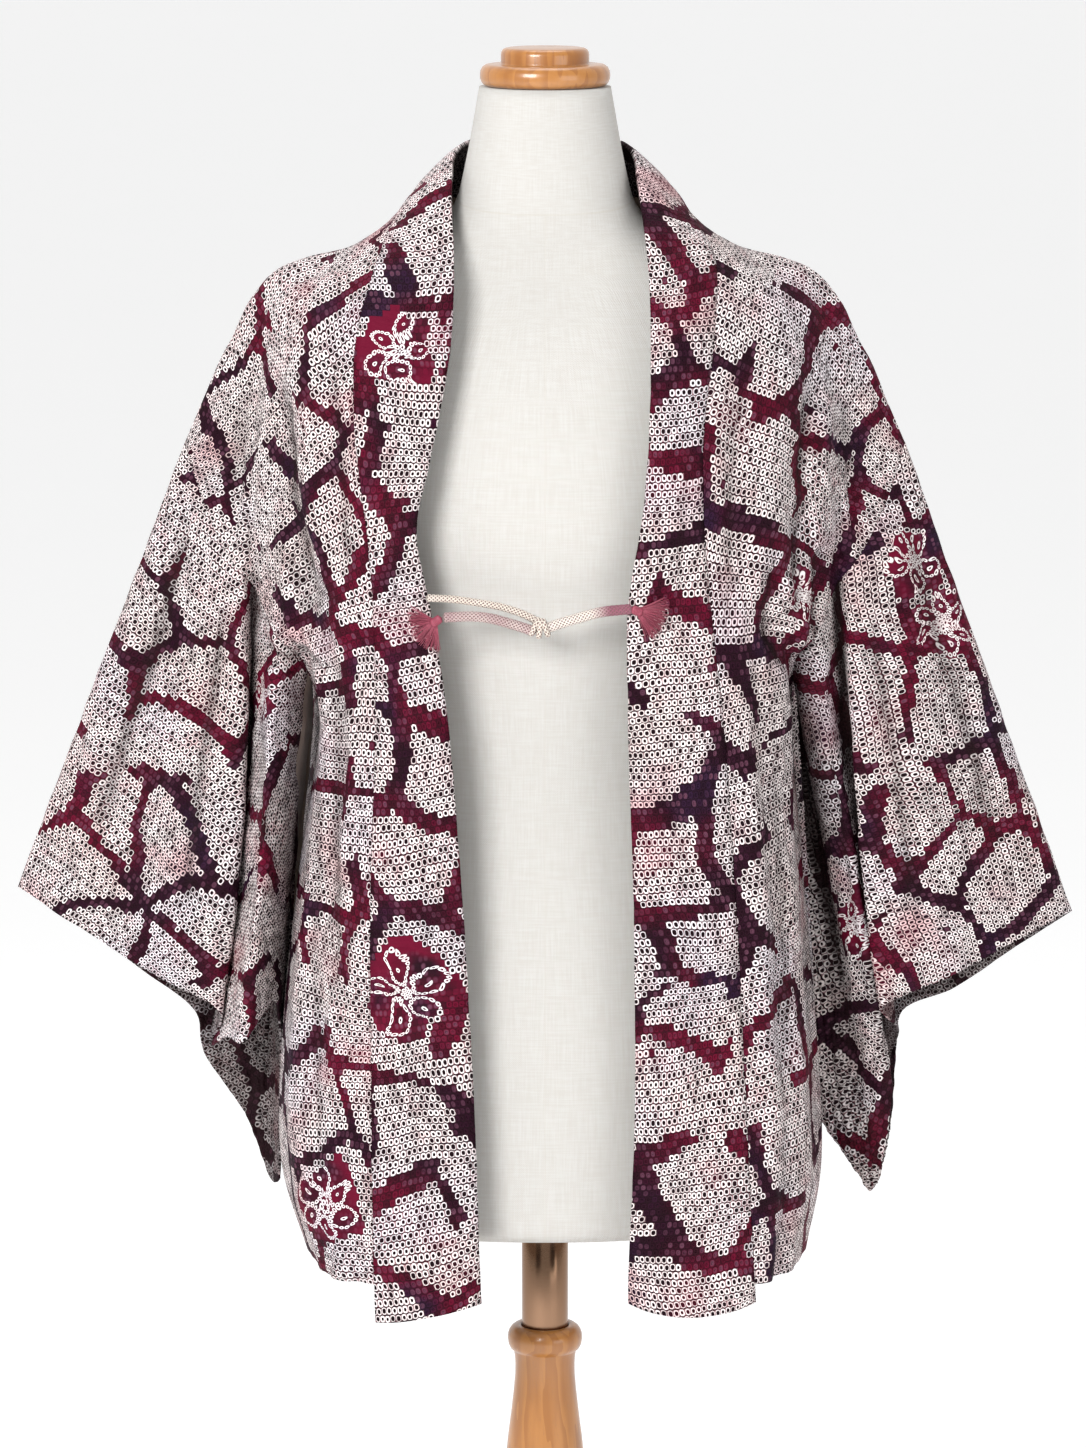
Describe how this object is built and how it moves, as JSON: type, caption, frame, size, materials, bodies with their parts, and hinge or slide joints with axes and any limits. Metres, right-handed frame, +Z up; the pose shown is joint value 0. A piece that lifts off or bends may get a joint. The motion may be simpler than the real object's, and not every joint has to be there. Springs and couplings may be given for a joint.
{
  "type": "haori kimono jacket on a limbless dress form",
  "caption": "Short open-fronted kimono jacket of tie-dyed silk with hanging sleeves, a folded collar band and a tied chest cord, worn by a linen dress form on a turned wooden stand.",
  "frame": {"origin": "on the floor, at the middle of the round foot", "axes": "+Z up along the pole; the open front of the jacket faces -Y; the wearer's right is -X"},
  "size_m": [0.721, 0.37, 1.4508],
  "materials": {
    "silk_shibori": "matte",
    "silk_collar": "matte",
    "cord_cream": "satin",
    "cord_mauve": "satin",
    "linen": "matte",
    "wood": "satin",
    "steel": "satin"
  },
  "bodies": {
    "root": {"collar": "silk_collar", "sleeve_right": "silk_shibori", "sleeve_left": "silk_shibori", "body_panel_right": "silk_shibori", "body_panel_left": "silk_shibori", "gusset_right": "silk_shibori", "gusset_left": "silk_shibori", "cord_right_upper": "cord_cream", "cord_knot": "cord_cream", "cord_right_lower": "cord_mauve", "cord_left": "cord_mauve", "tassel_right": "cord_mauve", "tassel_left": "cord_mauve", "form_torso": "linen", "neck_cap": "wood", "stand_column": "wood", "stand_foot": "wood", "stand_pole": "steel"}
  },
  "joints": []
}
